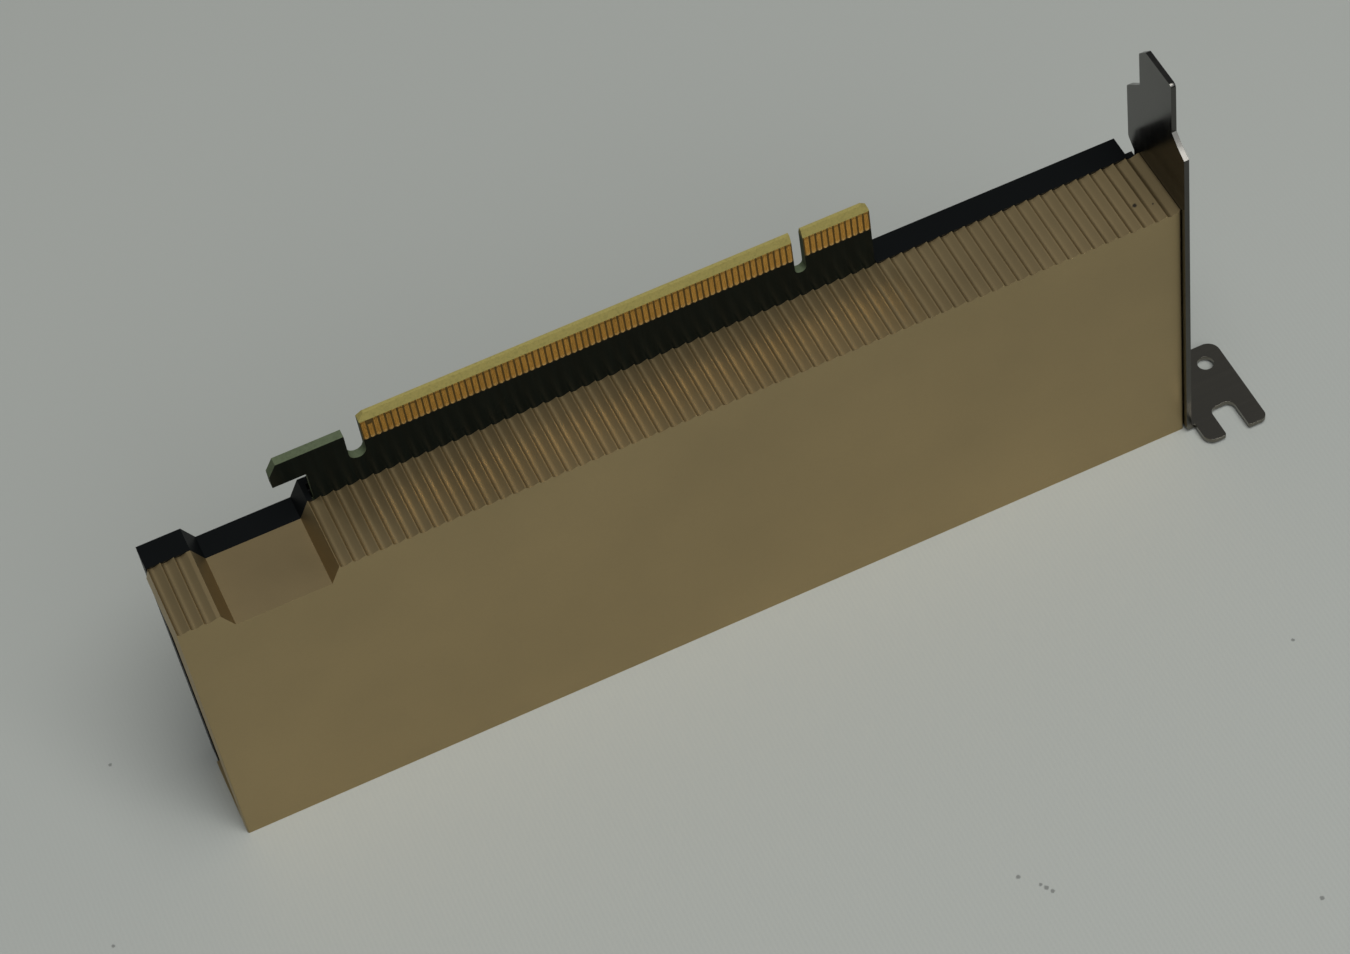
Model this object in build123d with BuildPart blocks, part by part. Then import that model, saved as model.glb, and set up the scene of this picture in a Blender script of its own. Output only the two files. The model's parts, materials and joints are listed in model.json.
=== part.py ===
from build123d import *
import os

# Passive accelerator card for a server slot, standing on its long edge with its edge connector up.
# X runs from the open air inlet to the slot bracket, Y from the cover's face to the back plate, Z up.
# The origin is on the surface it stands on, under the middle of the whole card.

# Overall card
card_length = 167.55
cover_depth = 13.75
cover_height = 55.1
board_thickness = 1.57
back_gap = 1.6
plate_thickness = 1.45
clearance = 0.3
end_gap = 0.05
screw_play = 0.1
cut_over = 1.0

# Ribbed cover
face_wall = 1.6
side_wall = 2.2
flute_pitch = 2.166
flute_land = 0.42
flute_depth = 0.45
end_land = 0.4
pocket_depth = 3.25
pocket_left = 9.3
pocket_right = 24.8
pocket_slope = 1.75
boss_radius = 2.1
boss_length = 5.0
edge_round = 0.3

# Circuit board and edge connector
connector_rise = 13.7
key_x = 109.45
key_width = 1.9
notch_depth = 8.65
short_reach = 12.15
long_reach = 72.05
bevel_length = 1.3
bevel_depth = 0.47
corner_cut = 1.0
pad_pitch = 1.0
pad_width = 0.7
pad_height = 4.15
pad_thickness = 0.05
short_pad_cut = 1.0
short_pad_count = 11
long_pad_count = 71
key_to_pad = 1.5
latch_notch_width = 2.8
hook_length = 12.4
hook_drop = 2.85
hook_height = 4.75
hook_cut_x = 1.35
hook_cut_z = 2.2
neck_reach = 9.7
neck_root = 6.2

# Back plate
lip = 1.2
plate_left = 0.35
step_drop = 4.7
step_top = 1.95
step_foot = 0.35
tail_reach = 1.1
lip_gap = 0.3

# Slot bracket
bracket_thickness = 0.86
bracket_width = 18.42
bracket_front = 1.1
bracket_foot = 0.55
tongue_rise = 11.81
tongue_width = 10.19
tongue_from_edge = 3.9
tongue_cut = 2.2
tongue_round = 0.8
shoulder_round = 1.2
near_shoulder_rise = 1.5
near_step_in = 1.9
near_step_drop = 1.65
near_drop = 2.8
far_shoulder_rise = 2.6
far_drop = 4.0
waist_drop = 1.0
waist_slant = 1.6
waist_width = 16.5
tab_reach = 11.9
tab_front = 5.5
tab_width = 18.65
tab_far_round = 2.2
finger_near_round = 1.8
finger_far_round = 1.2
finger_tip_round = 0.4
slot_width = 4.2
slot_from_plate = 6.3
slot_depth = 6.1
slot_round = 1.3
finger_gap = 0.7
tab_hole_radius = 1.4
tab_hole_from_plate = 8.4
tab_hole_inset = 3.75
bend_radius = 0.8
vent_length = 9.6
vent_width = 2.6
vent_inset = 8.2
vent_count = 10
ear_length = 8.6
ear_width = 7.0
ear_inset = 12.0
ear_hole_from_plate = 5.2
ear_hole_radius = 1.35

# Heat sink
sink_left = 30.0
sink_end = 13.65
sink_inset = 7.0
base_thickness = 1.5
base_gap = 2.6
pedestal_margin = 4.0
sole = 0.4
fin_thickness = 0.35
fin_count = 22
fin_top_gap = 0.4
post_radius = 2.4
post_inset = 3.6

# Components on the board
substrate_share = 0.86
substrate_thickness = 1.2
die_length_share = 0.64
die_height_share = 0.48
die_thickness = 0.8
frame_width = 3.0
frame_thickness = 0.6
memory_length = 12.0
memory_thickness = 1.1
memory_gap = 0.9
inductor_side = 7.0
inductor_height = 4.0
inductor_x = 21.5
inductor_round = 0.6
row_inset = 14.0
row_count = 4
stage_length = 6.0
stage_height = 5.0
stage_thickness = 0.9
stage_gap = 2.0
pad_inset = 0.5
bulk_radius = 3.0
bulk_height = 4.4
bulk_x = 9.5
small_length = 1.0
small_width = 0.5
small_height = 0.5
coupling_count = 14
rear_columns = 8
rear_rows = 6
rear_pitch = 2.4
rear_height = 0.8
controller_side = 5.0
controller_thickness = 0.9
controller_count = 3
sheet_thickness = 0.2

# Screws
cover_screw_columns = 4
cover_screw_left = 35.0
cover_screw_right = 12.65
cover_screw_inset = 4.15
screw_radius = 1.0
head_radius = 1.9
head_height = 0.9
sink_screw_radius = 1.2
sink_head_radius = 2.2
nut_radius = 2.4
nut_height = 1.2
bracket_head_height = 1.3

# Frame of the whole card
face_x = card_length + end_gap
outer_x = face_x + bracket_thickness
overall_length = outer_x + tab_reach
board_y = cover_depth
rear_y = board_y + board_thickness
inner_y = rear_y + back_gap
back_y = inner_y + plate_thickness
left = -overall_length / 2
front = tab_front - (tab_front + back_y) / 2
middle = cover_height / 2
base_y = board_y - base_gap
fin_foot = base_y - base_thickness
ceiling = cover_height - side_wall
pocket_floor = cover_height - pocket_depth
connector_height = cover_height + connector_rise
notch_floor = connector_height - notch_depth
hook_top = connector_height - hook_drop
hook_underside = hook_top - hook_height
neck_foot = cover_height - neck_root
tongue_top = connector_height + tongue_rise

# Row of parts on the board under the heat sink, with one gap between all of them
sink_length = card_length - sink_left - sink_end
sink_height = cover_height - 2 * sink_inset
substrate_side = substrate_share * sink_height
die_length = die_length_share * substrate_side
die_height = die_height_share * substrate_side
stage_block = 2 * stage_length + stage_gap
row_parts = controller_side + 2 * memory_length + 4 * post_radius + substrate_side + stage_block
row_gap = (sink_length - row_parts) / 8
controller_x = sink_left + row_gap + controller_side / 2
sink_screw_x = substrate_side + 2 * (row_gap + post_radius)
sink_screw_z = sink_height - 2 * post_inset
memory_pitch_x = sink_screw_x + 2 * (post_radius + row_gap) + memory_length
chip_x = controller_x + controller_side / 2 + row_gap + memory_length / 2 + memory_pitch_x / 2
stage_x = chip_x + memory_pitch_x / 2 + memory_length / 2 + row_gap + stage_block / 2
memory_pitch_z = (sink_height - memory_gap) / row_count
memory_height = memory_pitch_z - memory_gap
row_pitch = (cover_height - 2 * row_inset) / (row_count - 1)


def upright(y):
    # upright plane facing the viewer, at depth y behind the cover's face
    return Plane.XZ.offset(-(front + y))


# Round-bottomed flutes leave narrow lands, from an end land beside the bracket to the inlet
flute_width = flute_pitch - flute_land
flute_radius = (flute_width**2 / 4 + flute_depth**2) / (2 * flute_depth)
last_flute = card_length - end_land - flute_width / 2
flute_total = int((last_flute - flute_width / 2 - end_land) / flute_pitch) + 1
flute_xs = [last_flute - flute_pitch * i for i in range(flute_total)]
pocket_start = pocket_left - pocket_slope - flute_width / 2
pocket_end = pocket_right + pocket_slope + flute_width / 2
top_flutes = [x for x in flute_xs if x < pocket_start or x > pocket_end]

# Screw places, from the left end and the floor
screw_low = cover_screw_inset
screw_high = cover_height - cover_screw_inset
cover_screw_rise = screw_high - screw_low
cover_screw_span = card_length - cover_screw_left - cover_screw_right
cover_screw_pitch = cover_screw_span / (cover_screw_columns - 1)
cover_screw_centre = (left + cover_screw_left + cover_screw_span / 2, middle)
chip_centre = (left + chip_x, middle)
ear_hole_x = face_x - ear_hole_from_plate
ear_hole_places = [(left + ear_hole_x, ear_inset), (left + ear_hole_x, cover_height - ear_inset)]

# Outline of the back plate, with the latch recess and the step beside the bracket
with BuildSketch() as plate_outline:
    with BuildLine():
        Polyline(
            (left + plate_left, 0),
            (left + card_length, 0),
            (left + card_length, cover_height - step_drop),
            (left + card_length - step_foot, cover_height - step_drop),
            (left + card_length - step_top, cover_height),
            (left + pocket_right + pocket_slope, cover_height),
            (left + pocket_right, pocket_floor),
            (left + pocket_left, pocket_floor),
            (left + pocket_left - pocket_slope, cover_height),
            (left + plate_left, cover_height),
            close=True,
        )
    make_face()

# Ribbed cover: a plain face, a fluted upper side with a recess for the slot's latch, a plain lower side
with BuildPart() as ribbed_cover:
    with BuildSketch(upright(cover_depth)):
        with BuildLine():
            Polyline(
                (left, 0),
                (left + card_length, 0),
                (left + card_length, cover_height),
                (left + pocket_right + pocket_slope, cover_height),
                (left + pocket_right, pocket_floor),
                (left + pocket_left, pocket_floor),
                (left + pocket_left - pocket_slope, cover_height),
                (left, cover_height),
                close=True,
            )
        make_face()
    extrude(amount=cover_depth)
    fillet(ribbed_cover.faces().sort_by(Axis.Y)[0].edges().filter_by(Axis.Z), radius=edge_round)
    with BuildSketch(upright(cover_depth)):
        with BuildLine():
            Polyline(
                (left - cut_over, side_wall),
                (left + card_length + cut_over, side_wall),
                (left + card_length + cut_over, ceiling),
                (left + pocket_right + pocket_slope + face_wall, ceiling),
                (left + pocket_right + face_wall, pocket_floor - face_wall),
                (left + pocket_left - face_wall, pocket_floor - face_wall),
                (left + pocket_left - pocket_slope - face_wall, ceiling),
                (left - cut_over, ceiling),
                close=True,
            )
        make_face()
    extrude(amount=cover_depth - face_wall, mode=Mode.SUBTRACT)
    # screw bosses that stand on the inside of both long sides
    with BuildSketch(upright(cover_depth)):
        with Locations(cover_screw_centre):
            with GridLocations(cover_screw_pitch, cover_screw_rise, cover_screw_columns, 2):
                Circle(boss_radius)
    extrude(amount=boss_length)
    with BuildSketch(upright(cover_depth)):
        with Locations(cover_screw_centre):
            with GridLocations(cover_screw_pitch, cover_screw_rise, cover_screw_columns, 2):
                Circle(screw_radius + screw_play)
    extrude(amount=boss_length, mode=Mode.SUBTRACT)
    # flutes across the whole depth of the upper side
    with BuildSketch(upright(cover_depth)):
        with Locations([(left + x, cover_height - flute_depth + flute_radius) for x in top_flutes]):
            Circle(flute_radius)
    extrude(amount=cover_depth, mode=Mode.SUBTRACT)
ribbed_cover.part.label = "ribbed_cover"

# Circuit board: body inside the back plate's lip, neck with the bevelled edge connector and the latch hook
long_left = key_x - long_reach
short_right = key_x + short_reach
neck_left = long_left - neck_reach
hook_right = long_left - latch_notch_width
hook_left = hook_right - hook_length
with BuildPart() as circuit_board:
    with BuildSketch(upright(rear_y)):
        add(plate_outline.sketch)
        offset(amount=-(lip + clearance), kind=Kind.INTERSECTION)
        with BuildLine():
            Polyline(
                (left + neck_left, neck_foot),
                (left + short_right, neck_foot),
                (left + short_right, connector_height - corner_cut),
                (left + short_right - corner_cut, connector_height),
                (left + long_left + corner_cut, connector_height),
                (left + long_left, connector_height - corner_cut),
                (left + long_left, hook_top),
                (left + hook_left + hook_cut_x, hook_top),
                (left + hook_left, hook_top - hook_cut_z),
                (left + hook_left, hook_underside),
                (left + neck_left, hook_underside),
                close=True,
            )
        make_face()
    extrude(amount=board_thickness)
    # key notch and latch notch, both with a round floor
    with BuildSketch(upright(rear_y)):
        with Locations((left + key_x, connector_height)):
            Rectangle(key_width, 2 * (connector_height - notch_floor - key_width / 2))
        with Locations((left + key_x, notch_floor + key_width / 2)):
            Circle(key_width / 2)
        with Locations((left + long_left - latch_notch_width / 2, connector_height)):
            Rectangle(latch_notch_width, 2 * (connector_height - notch_floor - latch_notch_width / 2))
        with Locations((left + long_left - latch_notch_width / 2, notch_floor + latch_notch_width / 2)):
            Circle(latch_notch_width / 2)
    extrude(amount=board_thickness, mode=Mode.SUBTRACT)
    # bevel on both faces of the connector's tip
    with BuildSketch(Plane.YZ.offset(left + long_left)):
        for face_y, cut in [(front + board_y, bevel_depth), (front + rear_y, -bevel_depth)]:
            with BuildLine():
                Polyline(
                    (face_y, connector_height - bevel_length),
                    (face_y + cut, connector_height),
                    (face_y, connector_height),
                    close=True,
                )
            make_face()
    extrude(amount=short_right - long_left, mode=Mode.SUBTRACT)
    with BuildSketch(upright(rear_y)):
        with Locations(cover_screw_centre):
            with GridLocations(cover_screw_pitch, cover_screw_rise, cover_screw_columns, 2):
                Circle(screw_radius + screw_play)
        with Locations(chip_centre):
            with GridLocations(sink_screw_x, sink_screw_z, 2, 2):
                Circle(sink_screw_radius + screw_play)
        with Locations(ear_hole_places):
            Circle(ear_hole_radius)
    extrude(amount=board_thickness, mode=Mode.SUBTRACT)
circuit_board.part.label = "circuit_board"

# Contact pads in two groups beside the key, on both faces; one pad in the first place is shorter
pad_top = connector_height - bevel_length
pad_xs = [key_x + key_to_pad + pad_pitch * i for i in range(short_pad_count)]
pad_xs = pad_xs + [key_x - key_to_pad - pad_pitch * i for i in range(long_pad_count)]
last_pad = pad_xs[-2]
with BuildPart() as contacts_front:
    with BuildSketch(upright(board_y)):
        with Locations([(left + x, pad_top) for x in pad_xs if x != last_pad]):
            Rectangle(pad_width, pad_height, align=(Align.CENTER, Align.MAX))
        with Locations((left + last_pad, pad_top - short_pad_cut)):
            Rectangle(pad_width, pad_height - short_pad_cut, align=(Align.CENTER, Align.MAX))
    extrude(amount=pad_thickness)
contacts_front.part.label = "contacts_front"

with BuildPart() as contacts_rear:
    with BuildSketch(upright(rear_y)):
        with Locations([(left + x, pad_top) for x in pad_xs if x != pad_xs[short_pad_count - 1]]):
            Rectangle(pad_width, pad_height, align=(Align.CENTER, Align.MAX))
        with Locations((left + pad_xs[short_pad_count - 1], pad_top - short_pad_cut)):
            Rectangle(pad_width, pad_height - short_pad_cut, align=(Align.CENTER, Align.MAX))
    extrude(amount=-pad_thickness)
contacts_rear.part.label = "contacts_rear"

# Processor package: substrate, stiffening frame and bare die
with BuildPart() as processor_substrate:
    with BuildSketch(upright(board_y)):
        with Locations(chip_centre):
            Rectangle(substrate_side, substrate_side)
    extrude(amount=substrate_thickness)
processor_substrate.part.label = "processor_substrate"

with BuildPart() as processor_frame:
    with BuildSketch(upright(board_y - substrate_thickness)):
        with Locations(chip_centre):
            Rectangle(substrate_side, substrate_side)
            Rectangle(substrate_side - 2 * frame_width, substrate_side - 2 * frame_width, mode=Mode.SUBTRACT)
    extrude(amount=frame_thickness)
processor_frame.part.label = "processor_frame"

with BuildPart() as processor_die:
    with BuildSketch(upright(board_y - substrate_thickness)):
        with Locations(chip_centre):
            Rectangle(die_length, die_height)
    extrude(amount=die_thickness)
processor_die.part.label = "processor_die"

# Memory chips in two columns, and the soft pads between them and the heat sink
with BuildPart() as memory_chips:
    with BuildSketch(upright(board_y)):
        with Locations(chip_centre):
            with GridLocations(memory_pitch_x, memory_pitch_z, 2, row_count):
                Rectangle(memory_length, memory_height)
    extrude(amount=memory_thickness)
memory_chips.part.label = "memory_chips"

with BuildPart() as memory_pads:
    with BuildSketch(upright(board_y - memory_thickness)):
        with Locations(chip_centre):
            with GridLocations(memory_pitch_x, 0, 2, 1):
                Rectangle(memory_length - 2 * pad_inset, sink_height - 2 * memory_gap - 2 * pad_inset)
    extrude(amount=base_gap - memory_thickness)
memory_pads.part.label = "memory_pads"

# Power conversion: inductors and capacitors in the inlet's air, power stages under the heat sink
with BuildPart() as power_inductors:
    with BuildSketch(upright(board_y)):
        with Locations((left + inductor_x, middle)):
            with GridLocations(0, row_pitch, 1, row_count):
                RectangleRounded(inductor_side, inductor_side, inductor_round)
    extrude(amount=inductor_height)
power_inductors.part.label = "power_inductors"

with BuildPart() as bulk_capacitors:
    with BuildSketch(upright(board_y)):
        with Locations((left + bulk_x, middle)):
            with GridLocations(0, row_pitch, 1, row_count):
                Circle(bulk_radius)
    extrude(amount=bulk_height)
bulk_capacitors.part.label = "bulk_capacitors"

with BuildPart() as power_stages:
    with BuildSketch(upright(board_y)):
        with Locations((left + stage_x, middle)):
            with GridLocations(stage_length + stage_gap, row_pitch, 2, row_count):
                Rectangle(stage_length, stage_height)
    extrude(amount=stage_thickness)
power_stages.part.label = "power_stages"

with BuildPart() as power_pad:
    with BuildSketch(upright(board_y - stage_thickness)):
        with Locations((left + stage_x, middle)):
            Rectangle(stage_block - 2 * pad_inset, cover_height - 2 * row_inset + stage_height - 2 * pad_inset)
    extrude(amount=base_gap - stage_thickness)
power_pad.part.label = "power_pad"

# Small parts: coupling capacitors beside the connector, controllers, capacitors behind the processor
coupling_z = screw_high - boss_radius - clearance - small_length / 2
coupling_pitch = (short_right - long_left) / (coupling_count + 1)
with BuildPart() as coupling_capacitors:
    with BuildSketch(upright(board_y)):
        with Locations((left + (long_left + short_right) / 2, coupling_z)):
            with GridLocations(coupling_pitch, 0, coupling_count, 1):
                Rectangle(small_width, small_length)
    extrude(amount=small_height)
coupling_capacitors.part.label = "coupling_capacitors"

with BuildPart() as controllers:
    with BuildSketch(upright(board_y)):
        with Locations((left + controller_x, middle)):
            with GridLocations(0, sink_height / (controller_count + 1), 1, controller_count):
                Rectangle(controller_side, controller_side)
    extrude(amount=controller_thickness)
controllers.part.label = "controllers"

with BuildPart() as rear_capacitors:
    with BuildSketch(upright(rear_y)):
        with Locations(chip_centre):
            with GridLocations(rear_pitch, rear_pitch, rear_columns, rear_rows):
                Rectangle(small_length, small_width)
    extrude(amount=-rear_height)
rear_capacitors.part.label = "rear_capacitors"

# Heat sink: base with the processor's pedestal and four posts, and fins that run with the air
sink_centre = (left + sink_left + sink_length / 2, middle)
with BuildPart() as sink_base:
    with BuildSketch(upright(base_y)):
        with Locations(sink_centre):
            Rectangle(sink_length, sink_height)
    extrude(amount=base_thickness)
    with BuildSketch(upright(board_y - substrate_thickness - die_thickness)):
        with Locations(chip_centre):
            Rectangle(die_length + pedestal_margin, die_height + pedestal_margin)
    extrude(amount=base_gap - substrate_thickness - die_thickness)
    with BuildSketch(upright(board_y)):
        with Locations(chip_centre):
            with GridLocations(sink_screw_x, sink_screw_z, 2, 2):
                Circle(post_radius)
    extrude(amount=base_gap)
    with BuildSketch(upright(board_y)):
        with Locations(chip_centre):
            with GridLocations(sink_screw_x, sink_screw_z, 2, 2):
                Circle(sink_screw_radius + screw_play)
    extrude(amount=base_gap + base_thickness, mode=Mode.SUBTRACT)
sink_base.part.label = "sink_base"

fin_tip = face_wall + fin_top_gap
fin_pitch = (sink_height - fin_thickness) / (fin_count - 1)
with BuildPart() as sink_fins:
    with BuildSketch(Plane.YZ.offset(left + sink_left)):
        with Locations((front + fin_foot, middle)):
            Rectangle(sole, sink_height, align=(Align.MAX, Align.CENTER))
            with GridLocations(0, fin_pitch, 1, fin_count):
                Rectangle(fin_foot - fin_tip, fin_thickness, align=(Align.MAX, Align.CENTER))
    extrude(amount=sink_length)
sink_fins.part.label = "sink_fins"

# Back plate: flat outside, a lip round the board's edge, posts under the screws
with BuildPart() as back_plate:
    with BuildSketch(upright(back_y)):
        add(plate_outline.sketch)
    extrude(amount=back_y - board_y)
    with BuildSketch(upright(inner_y)):
        add(plate_outline.sketch)
        offset(amount=-lip, kind=Kind.INTERSECTION)
        with BuildLine():
            Polyline(
                (left + neck_left - clearance, neck_foot),
                (left + short_right + lip_gap, neck_foot),
                (left + short_right + lip_gap, cover_height + cut_over),
                (left + neck_left - clearance, cover_height + cut_over),
                close=True,
            )
        make_face()
    extrude(amount=inner_y - board_y, mode=Mode.SUBTRACT)
    # tail that reaches past the bracket's narrow part
    with BuildSketch(upright(back_y)):
        with Locations((left + card_length - lip, 0)):
            Rectangle(lip + tail_reach, cover_height - step_drop, align=(Align.MIN, Align.MIN))
    extrude(amount=plate_thickness)
    with BuildSketch(upright(inner_y)):
        with Locations(cover_screw_centre):
            with GridLocations(cover_screw_pitch, cover_screw_rise, cover_screw_columns, 2):
                Circle(boss_radius)
        with Locations(chip_centre):
            with GridLocations(sink_screw_x, sink_screw_z, 2, 2):
                Circle(boss_radius)
    extrude(amount=back_gap)
    with BuildSketch(upright(back_y)):
        with Locations(cover_screw_centre):
            with GridLocations(cover_screw_pitch, cover_screw_rise, cover_screw_columns, 2):
                Circle(screw_radius + screw_play)
        with Locations(chip_centre):
            with GridLocations(sink_screw_x, sink_screw_z, 2, 2):
                Circle(sink_screw_radius + screw_play)
    extrude(amount=back_y - rear_y, mode=Mode.SUBTRACT)
    with BuildSketch(upright(back_y)):
        with Locations(cover_screw_centre):
            with GridLocations(cover_screw_pitch, cover_screw_rise, cover_screw_columns, 2):
                Circle(head_radius + 2 * screw_play)
        with Locations(chip_centre):
            with GridLocations(sink_screw_x, sink_screw_z, 2, 2):
                Circle(sink_head_radius + 2 * screw_play)
    extrude(amount=head_height, mode=Mode.SUBTRACT)
back_plate.part.label = "back_plate"

# Insulating sheet on the inside of the back plate
with BuildPart() as insulating_sheet:
    with BuildSketch(upright(inner_y)):
        add(plate_outline.sketch)
        offset(amount=-(lip + clearance), kind=Kind.INTERSECTION)
        with Locations(cover_screw_centre):
            with GridLocations(cover_screw_pitch, cover_screw_rise, cover_screw_columns, 2):
                Circle(boss_radius + clearance, mode=Mode.SUBTRACT)
        with Locations(chip_centre):
            with GridLocations(sink_screw_x, sink_screw_z, 2, 2):
                Circle(boss_radius + clearance, mode=Mode.SUBTRACT)
    extrude(amount=sheet_thickness)
insulating_sheet.part.label = "insulating_sheet"

# Slot bracket: vented plate, tongue with its shoulders, folded tab with an open screw slot, two ears
plate_front = front - bracket_front
tongue_near = plate_front + tongue_from_edge
tongue_far = tongue_near + tongue_width
plate_far = plate_front + bracket_width
waist_far = plate_front + waist_width
tab_near = front - tab_front
near_shoulder = connector_height + near_shoulder_rise
far_shoulder = connector_height + far_shoulder_rise
waist = cover_height - waist_drop
vent_pitch = (cover_height - 2 * vent_inset) / (vent_count - 1)
with BuildPart() as slot_bracket:
    with BuildSketch(Plane.YZ.offset(left + face_x)) as bracket_outline:
        with BuildLine():
            Polyline(
                (plate_front, bracket_foot),
                (plate_front, near_shoulder - near_drop),
                (tongue_near - near_step_in, near_shoulder - near_step_drop),
                (tongue_near, near_shoulder),
                (tongue_near, tongue_top),
                (tongue_far - tongue_cut, tongue_top),
                (tongue_far, tongue_top - tongue_cut),
                (tongue_far, far_shoulder),
                (plate_far, far_shoulder - far_drop),
                (plate_far, waist + waist_slant),
                (waist_far, waist),
                (waist_far, bracket_foot + waist_slant),
                (tab_near + tab_width, bracket_foot),
                close=True,
            )
        make_face()
        tips = bracket_outline.vertices().group_by(Axis.Y)
        fillet(tips[-1] + tips[-2], radius=tongue_round)
        fillet(bracket_outline.vertices().group_by(Axis.X)[-1], radius=shoulder_round)
        with Locations((front + cover_depth / 2, middle)):
            with GridLocations(0, vent_pitch, 1, vent_count):
                SlotOverall(vent_length, vent_width, mode=Mode.SUBTRACT)
    extrude(amount=bracket_thickness)
    # tab folded outwards at the foot
    with BuildSketch(Plane.XY.offset(bracket_foot)) as tab:
        with Locations((left + face_x, plate_front)):
            Rectangle(bracket_thickness + tab_reach, tab_width - tab_front + bracket_front,
                      align=(Align.MIN, Align.MIN))
        with Locations((left + outer_x + finger_gap, tab_near)):
            Rectangle(tab_reach - finger_gap, tab_width, align=(Align.MIN, Align.MIN))
        with Locations((left + outer_x + slot_from_plate, tab_near)):
            RectangleRounded(slot_width, 2 * slot_depth, slot_round, mode=Mode.SUBTRACT)
        fillet(tab.vertices().group_by(Axis.Y)[0].sort_by(Axis.X)[1:3], radius=finger_tip_round)
        fillet(tab.vertices().group_by(Axis.Y)[0].sort_by(Axis.X)[0], radius=finger_near_round)
        fillet(tab.vertices().group_by(Axis.Y)[0].sort_by(Axis.X)[-1], radius=finger_far_round)
        fillet(tab.vertices().group_by(Axis.Y)[-1].sort_by(Axis.X)[-1], radius=tab_far_round)
        with Locations((left + outer_x + tab_hole_from_plate, tab_near + tab_width - tab_hole_inset)):
            Circle(tab_hole_radius, mode=Mode.SUBTRACT)
    extrude(amount=bracket_thickness)
    fold = slot_bracket.edges().filter_by(Axis.Y).group_by(Axis.Z)[0].sort_by(Axis.X)[0]
    fillet(fold, radius=bend_radius)
    # ears that lie on the board inside the duct's end
    with BuildSketch(upright(board_y)):
        with Locations([(left + face_x, ear_inset), (left + face_x, cover_height - ear_inset)]):
            Rectangle(ear_length, ear_width, align=(Align.MAX, Align.CENTER))
        with Locations(ear_hole_places):
            Circle(ear_hole_radius, mode=Mode.SUBTRACT)
    extrude(amount=bracket_thickness)
slot_bracket.part.label = "slot_bracket"

# Screws through the back plate and the board into the cover's bosses
with BuildPart() as cover_screws:
    with BuildSketch(upright(back_y)):
        with Locations(cover_screw_centre):
            with GridLocations(cover_screw_pitch, cover_screw_rise, cover_screw_columns, 2):
                Circle(head_radius)
    extrude(amount=head_height)
    with BuildSketch(upright(back_y - head_height)):
        with Locations(cover_screw_centre):
            with GridLocations(cover_screw_pitch, cover_screw_rise, cover_screw_columns, 2):
                Circle(screw_radius)
    extrude(amount=back_y - head_height - board_y + boss_length - clearance)
cover_screws.part.label = "cover_screws"

# Screws that pull the heat sink onto the processor
with BuildPart() as sink_screws:
    with BuildSketch(upright(back_y)):
        with Locations(chip_centre):
            with GridLocations(sink_screw_x, sink_screw_z, 2, 2):
                Circle(sink_head_radius)
    extrude(amount=head_height)
    with BuildSketch(upright(back_y - head_height)):
        with Locations(chip_centre):
            with GridLocations(sink_screw_x, sink_screw_z, 2, 2):
                Circle(sink_screw_radius)
    extrude(amount=back_y - head_height - board_y + base_gap + base_thickness - clearance)
sink_screws.part.label = "sink_screws"

# Screws and nuts that hold the bracket's ears to the board
with BuildPart() as bracket_screws:
    with BuildSketch(upright(board_y - bracket_thickness)):
        with Locations(ear_hole_places):
            Circle(nut_radius)
    extrude(amount=bracket_head_height)
    with BuildSketch(upright(board_y - bracket_thickness)):
        with Locations(ear_hole_places):
            Circle(ear_hole_radius - screw_play)
    extrude(amount=-(bracket_thickness + board_thickness + nut_height))
bracket_screws.part.label = "bracket_screws"

with BuildPart() as bracket_nuts:
    with BuildSketch(upright(rear_y)):
        with Locations(ear_hole_places):
            RegularPolygon(nut_radius, 6)
            Circle(ear_hole_radius, mode=Mode.SUBTRACT)
    extrude(amount=-nut_height)
bracket_nuts.part.label = "bracket_nuts"

os.makedirs("parts", exist_ok=True)
pieces = [
    ribbed_cover, circuit_board, contacts_front, contacts_rear, processor_substrate, processor_frame,
    processor_die, memory_chips, memory_pads, power_inductors, bulk_capacitors, power_stages, power_pad,
    coupling_capacitors, controllers, rear_capacitors, sink_base, sink_fins, back_plate, insulating_sheet,
    slot_bracket, cover_screws, sink_screws, bracket_screws, bracket_nuts,
]
for piece in pieces:
    export_step(piece.part, f"parts/{piece.part.label}.step")
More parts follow.
